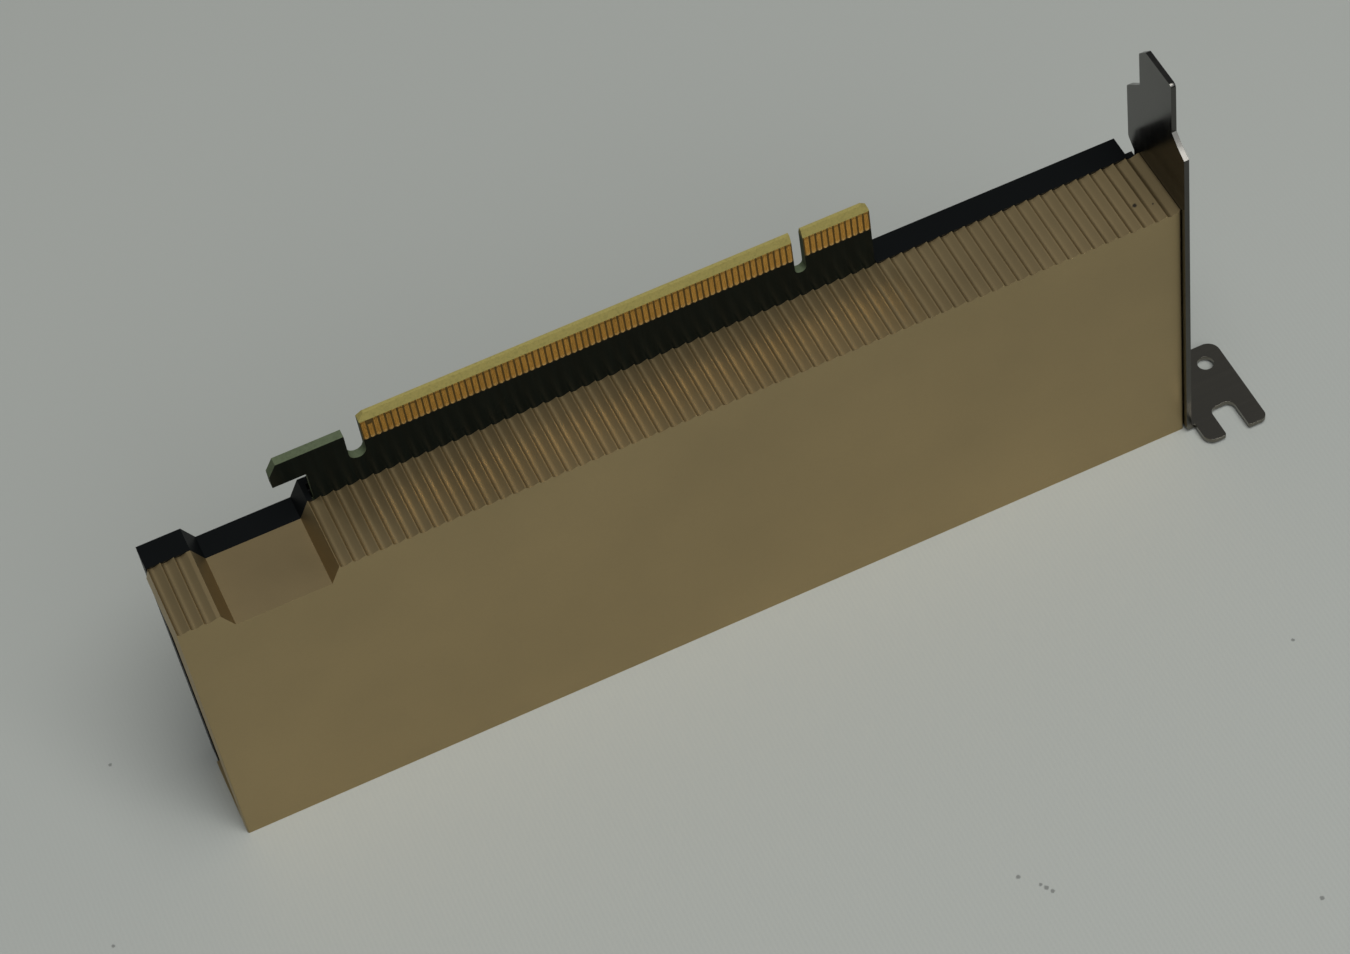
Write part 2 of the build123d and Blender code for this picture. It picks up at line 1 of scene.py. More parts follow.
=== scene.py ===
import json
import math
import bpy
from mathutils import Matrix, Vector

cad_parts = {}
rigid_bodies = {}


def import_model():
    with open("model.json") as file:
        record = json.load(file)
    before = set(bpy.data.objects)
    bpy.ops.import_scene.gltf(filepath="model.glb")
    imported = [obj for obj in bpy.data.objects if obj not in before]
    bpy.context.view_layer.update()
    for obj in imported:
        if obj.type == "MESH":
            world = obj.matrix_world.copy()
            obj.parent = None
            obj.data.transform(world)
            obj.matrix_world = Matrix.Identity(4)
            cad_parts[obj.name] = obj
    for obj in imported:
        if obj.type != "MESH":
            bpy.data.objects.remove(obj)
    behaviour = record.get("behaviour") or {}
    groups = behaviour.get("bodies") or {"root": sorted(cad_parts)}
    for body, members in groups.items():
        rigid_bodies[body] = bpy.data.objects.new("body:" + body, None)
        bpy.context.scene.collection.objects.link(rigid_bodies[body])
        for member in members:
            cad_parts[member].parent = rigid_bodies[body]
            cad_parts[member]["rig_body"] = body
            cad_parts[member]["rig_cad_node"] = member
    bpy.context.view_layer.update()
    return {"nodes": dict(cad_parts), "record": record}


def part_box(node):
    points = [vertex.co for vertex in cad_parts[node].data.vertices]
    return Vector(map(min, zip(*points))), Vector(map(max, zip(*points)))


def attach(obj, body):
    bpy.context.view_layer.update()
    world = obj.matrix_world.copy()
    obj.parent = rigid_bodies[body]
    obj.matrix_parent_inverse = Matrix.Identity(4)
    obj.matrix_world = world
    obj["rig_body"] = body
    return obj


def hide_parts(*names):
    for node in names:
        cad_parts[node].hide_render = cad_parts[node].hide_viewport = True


bl_info = {
    "name": "Passive Accelerator Card",
    "version": (1, 0, 0),
    "blender": (4, 5, 0),
    "location": "View3D > Sidebar > Card",
    "description": "Finishes, flutes, screws, inlet parts and studio for an accelerator card",
    "category": "Object",
}

import bpy
from mathutils import Matrix, Vector

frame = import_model()
NODES = frame["nodes"]

MM = 0.001

# Flutes of the cover: pitch, half width in the CAD, land kept at the right end, depth, width of the
# steep wall, land left at the crest, bow of the long rise, and play in finding the flutes' vertices
FLUTE_PITCH = 2.166 * MM
FLUTE_HALF = 0.873 * MM
FLUTE_MARGIN = 0.4 * MM
FLUTE_DEPTH = 0.46 * MM
FLUTE_WALL = 0.77 * MM
FLUTE_CREST = 0.11 * MM
FLUTE_BOW = 1.15
FLUTE_PLAY = 0.01 * MM
ALONG_PLAY = 0.001

# The latch pocket, from the cover's open end: the flute centres that it takes away and its far side
POCKET_FROM = 6.8 * MM
POCKET_TO = 27.3 * MM
POCKET_SIDE = 26.66 * MM

# Rounding of edges: the cover's share of the setting, the inlet parts, and the angles in degrees
# within which faces are one, above which an edge is rounded and below which it is shaded smooth
COVER_EDGE_SHARE = 0.4
CAN_RIM = 0.35 * MM
INDUCTOR_EDGE = 0.22 * MM
WELD_DISTANCE = 0.002 * MM
FLAT_WITHIN = 0.2
ROUNDED_ABOVE = 35.0
SMOOTH_BELOW = 40.0

# Screws: radius and height of the head, radius of the shank, and the side that the head is on
COVER_SCREW = (1.9 * MM, 0.9 * MM, 1.0 * MM, 1)
SINK_SCREW = (2.2 * MM, 0.9 * MM, 1.2 * MM, 1)
BRACKET_SCREW = (2.4 * MM, 1.3 * MM, 1.25 * MM, -1)

# The modelled screw: sides of head and shank, angles in degrees above which its rim is rounded and
# below which it is shaded smooth, and the rest as shares. The rim's width and the shank's chamfer
# are shares of their radius, the rim's rounding is one of the head's height, and the recess floor's
# inset and dish are shares of the recess.
HEAD_SIDES = 36
SHANK_SIDES = 24
RIM_ABOVE = 50.0
SCREW_SMOOTH = 35.0
RIM_WIDTH = 0.14
RIM_ROUNDING = 0.12
SHANK_CHAMFER = 0.25
LOBES = 6
LOBE_DEPTH = 0.14
RECESS_FLOOR = 0.35
RECESS_DISH = 0.15

# Board: cosines of a face's tilt between which the mask gives way to bare laminate, distances below
# the tip between which the bevel's colour comes in, and where the bare strip between the pads
# starts, above their feet and left of the first one
MASK_FACING = (0.985, 0.97)
BEVEL_BELOW = (1.42 * MM, 1.28 * MM)
STRIP_RISE = (0.02 * MM, 0.10 * MM)
STRIP_LEFT = (0.9 * MM, 0.8 * MM)
BARE_LAMINATE = (0.075, 0.048, 0.016)

# Contact pads: pitch, half width, the pale foot's colour and fade, the bow and edge of its rounded
# corners, and the dark scar's colour, middle, fade and bow, in millimetres below the pad's top
PAD_PITCH = 1.0 * MM
PAD_HALF = 0.35 * MM
PAD_FOOT = (0.52, 0.44, 0.30)
FOOT_FADE = (0.7 * MM, 0.2 * MM)
FOOT_CURVE = 2.6 * MM
FOOT_EDGE = (-0.02 * MM, 0.04 * MM)
PAD_SCAR = (0.05, 0.035, 0.014)
SCAR_MIDDLE = 0.22
SCAR_FADE = (0.2, 0.05)
SCAR_CURVE = 1.6

# Painted light: the bracket's tab is painted in a lighter tone than the rest of the nickel sheet,
# standing in for the brighter look that light gives it near the floor. The painted tone begins at
# the first height and is full at the second
TAB_PAINTED_LIGHT = (0.190, 0.176, 0.148)
TAB_LIGHT_FADE = (2.4 * MM, 1.6 * MM)

# Specks of dust and lint: x, y, z and radius in millimetres
DUST = (0.070, 0.058, 0.045)
COVER_DUST = ((71.8, -1.7, 54.8, 0.43), (74.4, -2.9, 54.8, 0.21))
CLOTH_LINT = (
    (13.9, -70.5, 0.0, 0.42), (16.3, -73.3, 0.0, 0.34),
    (16.8, -74.2, 0.0, 0.46), (17.4, -75.2, 0.0, 0.38),
    (72.2, -52.0, 0.0, 0.34), (52.7, -95.2, 0.0, 0.42),
    (-105.9, 16.6, 0.0, 0.34), (-116.4, -15.8, 0.0, 0.34),
)

# Cloth: its side in metres, the wave scale for one thread, where the weave comes out along the
# depth, and how strong it is at the two ends
CLOTH_SIDE = 3.0
WAVE_PER_THREAD = 0.314
WEAVE_FADE = (0.06, -0.09)
WEAVE_LEVEL = (0.12, 1.0)

# Room light: where the bright side is, over which share of it the light rises, least and full
# strength, and tint
BRIGHT_SIDE = (-0.20, 0.35, 0.915)
ROOM_RISE = (0.35, 0.75)
ROOM_STRENGTH = (0.04, 0.172)
ROOM_TINT = (0.93, 0.97, 1.0, 1.0)

# Lamps: name, place and size in metres, power in watts, tint
LAMPS = (
    ("key", (0.20, -0.70, 2.30), 1.5, 44.0, (1.0, 0.99, 0.97)),
    ("fill", (0.30, -1.50, 1.70), 1.8, 23.4, (0.97, 0.99, 1.0)),
)
LAMP_AIM = (0.0, 0.0, 0.03)

# The camera, solved from the straight edges in the photograph: metres, degrees and millimetres
CAMERA_PLACE = (-0.10571, -0.35006, 0.50550)
CAMERA_TURN = (37.1524, 6.4658, -23.9776)
CAMERA_LENS = 101.613
SENSOR_WIDTH = 36.0
CLIP_START = 0.01


# Settings

def colour_setting(name, description, default):
    return bpy.props.FloatVectorProperty(
        name=name, description=description, default=default, subtype="COLOR", size=3,
        min=0.0, max=1.0)


def length_setting(name, description, default):
    return bpy.props.FloatProperty(
        name=name, description=description, default=default, min=0.0,
        subtype="DISTANCE", unit="LENGTH")


class CardColours(bpy.types.PropertyGroup):
    gold: colour_setting("Cover", "Champagne-gold anodising of the cover", (0.408, 0.311, 0.163))
    black: colour_setting("Back plate", "Black anodising of the plate", (0.0035, 0.0042, 0.0045))
    mask: colour_setting("Solder mask", "Dark solder mask of the board", (0.0038, 0.0060, 0.0052))
    laminate: colour_setting("Laminate", "Bare edge of the board", (0.085, 0.105, 0.062))
    bevel: colour_setting("Bevel", "Bevelled tip of the edge connector", (0.27, 0.23, 0.075))
    contact: colour_setting("Contacts", "Gold plating of the contact pads", (0.42, 0.278, 0.094))
    nickel: colour_setting("Bracket", "Dark nickel of the slot bracket", (0.096, 0.093, 0.086))
    sink: colour_setting("Heat sink", "Plain aluminium of base and fins", (0.72, 0.72, 0.73))
    moulding: colour_setting("Chips", "Moulded chip packages", (0.018, 0.018, 0.020))
    floor: colour_setting("Cloth", "Pale cloth under the card", (0.33, 0.345, 0.325))


class CardSizes(bpy.types.PropertyGroup):
    grain: length_setting("Blasting grain", "Size of the grain under the anodising", 0.00035)
    weave: length_setting("Cloth weave", "Distance between the threads of the cloth", 0.0008)
    recess_depth: length_setting("Screw recess", "Depth of the recess in the screw heads", 0.0006)
    recess_radius: length_setting("Recess radius", "Outer radius of the star recess", 0.0011)
    edge: length_setting("Edge rounding", "Rounding of sheet edges and corners", 0.00012)


# Shared effects

# The node groups by name and the finishes by material slot, filled by the first operator
GROUPS = {}
MATERIALS = {}


def make_group(name, inputs, outputs):
    group = bpy.data.node_groups.new(name, "ShaderNodeTree")
    for label, kind, default in inputs:
        socket = group.interface.new_socket(name=label, in_out="INPUT", socket_type=kind)
        if default is not None:
            socket.default_value = default
    for label, kind in outputs:
        group.interface.new_socket(name=label, in_out="OUTPUT", socket_type=kind)
    entry = group.nodes.new("NodeGroupInput")
    leave = group.nodes.new("NodeGroupOutput")
    return group, entry, leave


def add_node(tree, kind, **settings):
    node = tree.nodes.new(kind)
    for key, value in settings.items():
        if key in node.inputs:
            node.inputs[key].default_value = value
        else:
            setattr(node, key, value)
    return node


def math_node(tree, operation, first, second=None):
    node = tree.nodes.new("ShaderNodeMath")
    node.operation = operation
    for index, value in enumerate((first, second)):
        if value is None:
            continue
        if isinstance(value, (int, float)):
            node.inputs[index].default_value = value
        else:
            tree.links.new(value, node.inputs[index])
    return node.outputs[0]


def range_node(tree, value, low, high, to_low=0.0, to_high=1.0):
    node = tree.nodes.new("ShaderNodeMapRange")
    node.inputs["From Min"].default_value = low
    node.inputs["From Max"].default_value = high
    node.inputs["To Min"].default_value = to_low
    node.inputs["To Max"].default_value = to_high
    tree.links.new(value, node.inputs["Value"])
    return node.outputs["Result"]


def split_axes(tree, vector):
    node = tree.nodes.new("ShaderNodeSeparateXYZ")
    tree.links.new(vector, node.inputs[0])
    return node.outputs


def mix_colour(tree, factor, first, second):
    node = tree.nodes.new("ShaderNodeMix")
    node.data_type = "RGBA"
    for index, value in ((0, factor), (6, first), (7, second)):
        socket = node.inputs[index]
        if isinstance(value, (int, float)):
            socket.default_value = value
        elif isinstance(value, bpy.types.NodeSocket):
            tree.links.new(value, socket)
        else:
            socket.default_value = (*value[:3], 1.0)
    return node.outputs[2]


def grain_group():
    """Fine blasted or moulded grain: height and a mask of the same specks."""
    group, entry, leave = make_group(
        "Fine Grain",
        [("Vector", "NodeSocketVector", None), ("Scale", "NodeSocketFloat", 2000.0)],
        [("Height", "NodeSocketFloat"), ("Specks", "NodeSocketFloat")])
    fine = add_node(group, "ShaderNodeTexNoise", Detail=3.0, Roughness=0.6)
    group.links.new(entry.outputs["Vector"], fine.inputs["Vector"])
    group.links.new(entry.outputs["Scale"], fine.inputs["Scale"])
    specks = range_node(group, fine.outputs[0], 0.45, 0.75)
    group.links.new(fine.outputs[0], leave.inputs["Height"])
    group.links.new(specks, leave.inputs["Specks"])
    return group


def streak_group():
    """Long drawn or brushed streaks: the stretch vector squeezes the noise across the streaks."""
    group, entry, leave = make_group(
        "Drawn Streaks",
        [("Vector", "NodeSocketVector", None), ("Stretch", "NodeSocketVector", (1.0, 1.0, 1.0)),
         ("Detail", "NodeSocketFloat", 3.0)],
        [("Height", "NodeSocketFloat"), ("Mask", "NodeSocketFloat")])
    stretch = add_node(group, "ShaderNodeVectorMath", operation="MULTIPLY")
    group.links.new(entry.outputs["Vector"], stretch.inputs[0])
    group.links.new(entry.outputs["Stretch"], stretch.inputs[1])
    noise = add_node(group, "ShaderNodeTexNoise", Scale=1.0)
    group.links.new(stretch.outputs[0], noise.inputs["Vector"])
    group.links.new(entry.outputs["Detail"], noise.inputs["Detail"])
    group.links.new(noise.outputs[0], leave.inputs["Height"])
    group.links.new(range_node(group, noise.outputs[0], 0.4, 0.7), leave.inputs["Mask"])
    return group


def handling_group():
    """Broad cloudy patches left by handling and wiping, for colour and gloss."""
    group, entry, leave = make_group(
        "Handling Marks",
        [("Vector", "NodeSocketVector", None), ("Size", "NodeSocketFloat", 40.0)],
        [("Cloud", "NodeSocketFloat")])
    cloud = add_node(group, "ShaderNodeTexNoise", Detail=4.0, Roughness=0.55)
    group.links.new(entry.outputs["Vector"], cloud.inputs["Vector"])
    group.links.new(entry.outputs["Size"], cloud.inputs["Scale"])
    group.links.new(range_node(group, cloud.outputs[0], 0.3, 0.7), leave.inputs["Cloud"])
    return group


def speck_group():
    """One ragged speck of dust or lint at a given place."""
    group, entry, leave = make_group(
        "Single Speck",
        [("Vector", "NodeSocketVector", None), ("Centre", "NodeSocketVector", (0.0, 0.0, 0.0)),
         ("Radius", "NodeSocketFloat", 0.0003)],
        [("Mask", "NodeSocketFloat")])
    ragged = add_node(group, "ShaderNodeTexNoise", Scale=3000.0)
    group.links.new(entry.outputs["Vector"], ragged.inputs["Vector"])
    gap = add_node(group, "ShaderNodeVectorMath", operation="DISTANCE")
    group.links.new(entry.outputs["Vector"], gap.inputs[0])
    group.links.new(entry.outputs["Centre"], gap.inputs[1])
    share = math_node(group, "DIVIDE", gap.outputs["Value"], entry.outputs["Radius"])
    share = math_node(group, "ADD", share, ragged.outputs[0])
    group.links.new(range_node(group, share, 1.6, 1.1), leave.inputs["Mask"])
    return group


def place_group(tree, name, vector, **values):
    node = tree.nodes.new("ShaderNodeGroup")
    node.node_tree = GROUPS[name]
    tree.links.new(vector, node.inputs["Vector"])
    for key, value in values.items():
        node.inputs[key].default_value = value
    return node


def speck_mask(tree, vector, spots):
    """One mask for several specks, each given as x, y, z and radius in millimetres."""
    mask = 0.0
    for x, y, z, radius in spots:
        centre = (x * MM, y * MM, z * MM)
        speck = place_group(tree, "Single Speck", vector, Centre=centre, Radius=radius * MM)
        mask = math_node(tree, "MAXIMUM", speck.outputs["Mask"], mask)
    return mask


def start_finish(name, metallic=0.0, roughness=0.5, **constants):
    """A material with its shader and the object's own coordinates."""
    material = bpy.data.materials.new(name)
    material.use_nodes = True
    tree = material.node_tree
    tree.nodes.clear()
    out = tree.nodes.new("ShaderNodeOutputMaterial")
    shader = tree.nodes.new("ShaderNodeBsdfPrincipled")
    tree.links.new(shader.outputs[0], out.inputs["Surface"])
    shader.inputs["Metallic"].default_value = metallic
    shader.inputs["Roughness"].default_value = roughness
    for key, value in constants.items():
        shader.inputs[key.replace("_", " ")].default_value = value
    where = tree.nodes.new("ShaderNodeTexCoord").outputs["Object"]
    return material, tree, shader, where


def add_bump(tree, shader, height, distance, strength):
    bump = tree.nodes.new("ShaderNodeBump")
    bump.inputs["Distance"].default_value = distance
    bump.inputs["Strength"].default_value = strength
    tree.links.new(height, bump.inputs["Height"])
    tree.links.new(bump.outputs[0], shader.inputs["Normal"])


def tone(colour, share):
    """The same colour, darker below a share of 1 and lighter above it."""
    return tuple(channel * share for channel in colour[:3])


# Finishes

def anodised_finish(name, colour, grain, metallic, rough, specular=0.5, spots=()):
    """Blasted and anodised aluminium with a soft sheen and faint handling clouds."""
    material, tree, shader, where = start_finish(
        name, metallic=metallic, Specular_IOR_Level=specular)
    fine = place_group(tree, "Fine Grain", where, Scale=1.0 / grain)
    marks = place_group(tree, "Handling Marks", where, Size=32.0)
    base = mix_colour(tree, marks.outputs["Cloud"], tone(colour, 0.93), tone(colour, 1.05))
    specks = math_node(tree, "MULTIPLY", fine.outputs["Specks"], 0.10)
    base = mix_colour(tree, specks, base, tone(colour, 0.72))
    if spots:
        base = mix_colour(tree, speck_mask(tree, where, spots), base, DUST)
    tree.links.new(base, shader.inputs["Base Color"])
    gloss = math_node(tree, "MULTIPLY", marks.outputs["Cloud"], 0.06)
    gloss = math_node(tree, "ADD", gloss, rough)
    tree.links.new(gloss, shader.inputs["Roughness"])
    add_bump(tree, shader, fine.outputs["Height"], distance=0.000012, strength=0.25)
    return material


def plain_finish(name, colour, metallic, rough, grain, bump, variation=0.12):
    """Grained moulding, plating or ceramic, with gloss and colour that vary a little."""
    material, tree, shader, where = start_finish(name, metallic=metallic)
    fine = place_group(tree, "Fine Grain", where, Scale=1.0 / grain)
    marks = place_group(tree, "Handling Marks", where, Size=90.0)
    low_tone, high_tone = tone(colour, 1.0 - variation), tone(colour, 1.0 + variation)
    base = mix_colour(tree, fine.outputs["Specks"], low_tone, high_tone)
    tree.links.new(base, shader.inputs["Base Color"])
    gloss = range_node(tree, marks.outputs["Cloud"], 0.0, 1.0, rough * 0.9, min(rough * 1.15, 1.0))
    tree.links.new(gloss, shader.inputs["Roughness"])
    add_bump(tree, shader, fine.outputs["Height"], distance=bump, strength=0.6)
    return material


def drawn_finish(name, colour, metallic, rough, stretch, bump, foot=None):
    """Rolled or drawn metal with fine streaks and, if given, a lighter tone near the floor that is
    painted light standing in for the light there.
    """
    material, tree, shader, where = start_finish(name, metallic=metallic)
    streaks = place_group(tree, "Drawn Streaks", where, Stretch=stretch)
    marks = place_group(tree, "Handling Marks", where, Size=60.0)
    base = mix_colour(tree, streaks.outputs["Mask"], tone(colour, 0.9), tone(colour, 1.06))
    # Painted light: the lighter tone on the tab near the floor stands in for light, not for a
    # different finish of the sheet.
    if foot:
        painted_tab_light = range_node(tree, split_axes(tree, where)["Z"], *TAB_LIGHT_FADE)
        base = mix_colour(tree, painted_tab_light, base, foot)
    tree.links.new(base, shader.inputs["Base Color"])
    gloss = range_node(tree, streaks.outputs["Mask"], 0.0, 1.0, rough * 0.85, rough * 1.15)
    gloss = math_node(tree, "ADD", gloss, math_node(tree, "MULTIPLY", marks.outputs["Cloud"], 0.05))
    tree.links.new(gloss, shader.inputs["Roughness"])
    add_bump(tree, shader, streaks.outputs["Height"], distance=bump, strength=0.4)
    return material


def board_finish(colours):
    """Dark solder mask over faint traces, bare on the cut edges, the tip and between the pads."""
    material, tree, shader, where = start_finish("solder_mask", Specular_IOR_Level=0.03)
    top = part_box("circuit_board")[1].z
    place = split_axes(tree, where)
    geometry = tree.nodes.new("ShaderNodeNewGeometry")
    flat = math_node(tree, "ABSOLUTE", split_axes(tree, geometry.outputs["True Normal"])["Y"])
    edge = range_node(tree, flat, *MASK_FACING)
    tip = range_node(tree, place["Z"], *(top - below for below in BEVEL_BELOW))
    fine = place_group(tree, "Fine Grain", where, Scale=2600.0)
    marks = place_group(tree, "Handling Marks", where, Size=55.0)
    traces = place_group(tree, "Drawn Streaks", where, Stretch=(1600.0, 1.0, 60.0), Detail=1.0)
    over_traces = tone(colours.mask, 1.15)
    under = mix_colour(tree, traces.outputs["Mask"], tone(colours.mask, 0.9), over_traces)
    bare = mix_colour(tree, fine.outputs["Specks"], colours.laminate, tone(colours.laminate, 0.7))
    rim = mix_colour(tree, fine.outputs["Specks"], colours.bevel, tone(colours.bevel, 0.75))
    cut = mix_colour(tree, tip, bare, rim)
    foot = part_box("contacts_front")[0]
    between = range_node(tree, place["Z"], *(foot.z + rise for rise in STRIP_RISE))
    beside = range_node(tree, place["X"], *(foot.x - left for left in STRIP_LEFT))
    between = math_node(tree, "MULTIPLY", between, beside)
    under = mix_colour(tree, between, under, BARE_LAMINATE)
    tree.links.new(mix_colour(tree, edge, under, cut), shader.inputs["Base Color"])
    gloss = range_node(tree, marks.outputs["Cloud"], 0.0, 1.0, 0.26, 0.36)
    gloss = math_node(tree, "MAXIMUM", gloss, math_node(tree, "MULTIPLY", edge, 0.6))
    tree.links.new(gloss, shader.inputs["Roughness"])
    height = math_node(tree, "MULTIPLY", traces.outputs["Mask"], 0.15)
    grain = math_node(tree, "MULTIPLY", fine.outputs["Height"], 0.3)
    height = math_node(tree, "ADD", height, grain)
    add_bump(tree, shader, height, distance=0.00002, strength=0.5)
    return material


def contact_finish(colours):
    """Hard gold, a little different from pad to pad, dark at the top and round at the foot."""
    material, tree, shader, where = start_finish("contact_gold")
    low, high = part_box("contacts_front")
    place = split_axes(tree, where)
    along = math_node(tree, "SUBTRACT", place["X"], high.x - PAD_HALF - PAD_PITCH / 2)
    along = math_node(tree, "DIVIDE", along, PAD_PITCH)
    number = add_node(tree, "ShaderNodeTexWhiteNoise", noise_dimensions="1D")
    tree.links.new(math_node(tree, "FLOOR", along), number.inputs["W"])
    off_middle = math_node(tree, "SUBTRACT", math_node(tree, "FRACT", along), 0.5)
    curve = math_node(tree, "MULTIPLY", off_middle, off_middle)
    wipes = place_group(tree, "Drawn Streaks", where, Stretch=(9000.0, 1.0, 350.0))
    marks = place_group(tree, "Handling Marks", where, Size=120.0)
    base = mix_colour(tree, wipes.outputs["Mask"], tone(colours.contact, 0.86), colours.contact)
    base = mix_colour(tree, number.outputs["Value"], base, tone(colours.contact, 0.72))
    base = mix_colour(tree, marks.outputs["Cloud"], base, tone(colours.contact, 0.95))
    rise = math_node(tree, "SUBTRACT", place["Z"], low.z)
    pale_foot = range_node(tree, rise, *FOOT_FADE, 0.0, 0.5)
    base = mix_colour(tree, pale_foot, base, PAD_FOOT)
    down = math_node(tree, "DIVIDE", math_node(tree, "SUBTRACT", place["Z"], high.z), -MM)
    down = math_node(tree, "SUBTRACT", down, math_node(tree, "MULTIPLY", curve, SCAR_CURVE))
    off_scar = math_node(tree, "ABSOLUTE", math_node(tree, "SUBTRACT", down, SCAR_MIDDLE))
    scar = range_node(tree, off_scar, *SCAR_FADE)
    strength = range_node(tree, number.outputs["Value"], 0.0, 1.0, 0.35, 0.85)
    scar = math_node(tree, "MULTIPLY", scar, strength)
    base = mix_colour(tree, scar, base, PAD_SCAR)
    round_foot = math_node(tree, "SUBTRACT", math_node(tree, "MULTIPLY", curve, FOOT_CURVE), rise)
    corner = range_node(tree, round_foot, *FOOT_EDGE)
    base = mix_colour(tree, corner, base, colours.mask)
    tree.links.new(base, shader.inputs["Base Color"])
    tree.links.new(math_node(tree, "SUBTRACT", 1.0, corner), shader.inputs["Metallic"])
    gloss = range_node(tree, wipes.outputs["Mask"], 0.0, 1.0, 0.24, 0.36)
    tree.links.new(gloss, shader.inputs["Roughness"])
    add_bump(tree, shader, wipes.outputs["Height"], distance=0.000008, strength=0.5)
    return material


def cloth_finish(colours, sizes):
    """Pale cloth with a fine weave that shows most towards the front, and a few bits of lint."""
    material, tree, shader, where = start_finish("pale_cloth", roughness=0.85)
    scale = WAVE_PER_THREAD / sizes.weave
    across = add_node(tree, "ShaderNodeTexWave", bands_direction="X", Scale=scale, Distortion=0.8)
    along = add_node(tree, "ShaderNodeTexWave", bands_direction="Y", Scale=scale, Distortion=0.8)
    for wave in (across, along):
        tree.links.new(where, wave.inputs["Vector"])
    threads = math_node(tree, "MULTIPLY", along.outputs["Fac"], 0.45)
    threads = math_node(tree, "MAXIMUM", across.outputs["Fac"], threads)
    nearness = range_node(tree, split_axes(tree, where)["Y"], *WEAVE_FADE, *WEAVE_LEVEL)
    threads = math_node(tree, "MULTIPLY", threads, nearness)
    marks = place_group(tree, "Handling Marks", where, Size=6.0)
    base = mix_colour(tree, threads, tone(colours.floor, 0.985), tone(colours.floor, 1.025))
    clouds = math_node(tree, "MULTIPLY", marks.outputs["Cloud"], 0.25)
    base = mix_colour(tree, clouds, base, tone(colours.floor, 0.97))
    base = mix_colour(tree, speck_mask(tree, where, CLOTH_LINT), base, tone(colours.floor, 0.5))
    tree.links.new(base, shader.inputs["Base Color"])
    add_bump(tree, shader, threads, distance=0.00006, strength=0.25)
    return material


# Modelling helpers

def pick(*objects):
    """Leaves only these objects selected, with the first one active."""
    bpy.ops.object.select_all(action="DESELECT")
    for obj in objects:
        obj.select_set(True)
    if objects:
        bpy.context.view_layer.objects.active = objects[0]


def join_as(pieces, name):
    """Joins pieces into one mesh whose object sits at the origin."""
    pick(*pieces)
    bpy.ops.object.join()
    result = pieces[0]
    result.name = name
    result.data.name = name
    bpy.ops.object.transform_apply(location=True, rotation=True, scale=True)
    return result


def copy_of(obj, shift, turn):
    """A copy with a mesh of its own, turned about the origin and then shifted."""
    twin = obj.copy()
    twin.data = obj.data.copy()
    bpy.context.scene.collection.objects.link(twin)
    twin.matrix_world = Matrix.Translation(shift) @ turn @ obj.matrix_world
    return twin


def islands(node):
    """Boxes of a node's separate solids, found by joining touching vertices."""
    mesh = NODES[node].data
    parent = {}

    def root(key):
        while parent[key] != key:
            parent[key] = parent[parent[key]]
            key = parent[key]
        return key

    keys = [tuple(round(value * 1e6) for value in vertex.co) for vertex in mesh.vertices]
    for key in keys:
        parent.setdefault(key, key)
    for polygon in mesh.polygons:
        first = root(keys[polygon.vertices[0]])
        for index in polygon.vertices[1:]:
            parent[root(keys[index])] = first
    boxes = {}
    for key in parent:
        box = boxes.setdefault(root(key), [list(key), list(key)])
        for axis in range(3):
            box[0][axis] = min(box[0][axis], key[axis])
            box[1][axis] = max(box[1][axis], key[axis])
    found = [(Vector(low) * 1e-6, Vector(high) * 1e-6) for low, high in boxes.values()]
    return sorted(found, key=lambda box: (round(box[0].x, 5), round(box[0].z, 5)))


def dress(obj, material):
    obj.data.materials.clear()
    obj.data.materials.append(material)


def stand_for(piece, node, slot):
    """Lays the slot's finish on a piece and puts it in a CAD node's place."""
    dress(piece, MATERIALS[slot])
    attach(piece, "root")
    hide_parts(node)


def lean_flutes(mesh):
    """Gives the cover's flutes a steep round wall on the left and a long rise to the right."""
    low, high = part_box("ribbed_cover")
    last = high.x - FLUTE_MARGIN - FLUTE_HALF
    for vertex in mesh.vertices:
        if high.z - vertex.co.z > FLUTE_DEPTH + FLUTE_PLAY:
            continue
        centre = last - FLUTE_PITCH * round((last - vertex.co.x) / FLUTE_PITCH)
        along = ((vertex.co.x - centre) / FLUTE_HALF + 1.0) / 2
        in_pocket = POCKET_FROM < centre - low.x < POCKET_TO
        if in_pocket or not -ALONG_PLAY < along < 1.0 + ALONG_PLAY:
            continue
        side = low.x + POCKET_SIDE if centre - low.x > POCKET_TO else low.x
        crest = max(centre - FLUTE_PITCH / 2, side)
        rise = centre + FLUTE_PITCH / 2 - FLUTE_CREST - crest - FLUTE_WALL
        if along < 0.5:
            turn = math.pi * max(along, 0.0)
            vertex.co.x = crest + FLUTE_WALL * (1.0 - math.cos(turn))
            vertex.co.z = high.z - FLUTE_DEPTH * math.sin(turn)
        else:
            climb = min(2.0 * along - 1.0, 1.0)
            vertex.co.x = crest + FLUTE_WALL + rise * climb
            vertex.co.z = high.z - FLUTE_DEPTH * (1.0 - climb ** FLUTE_BOW)


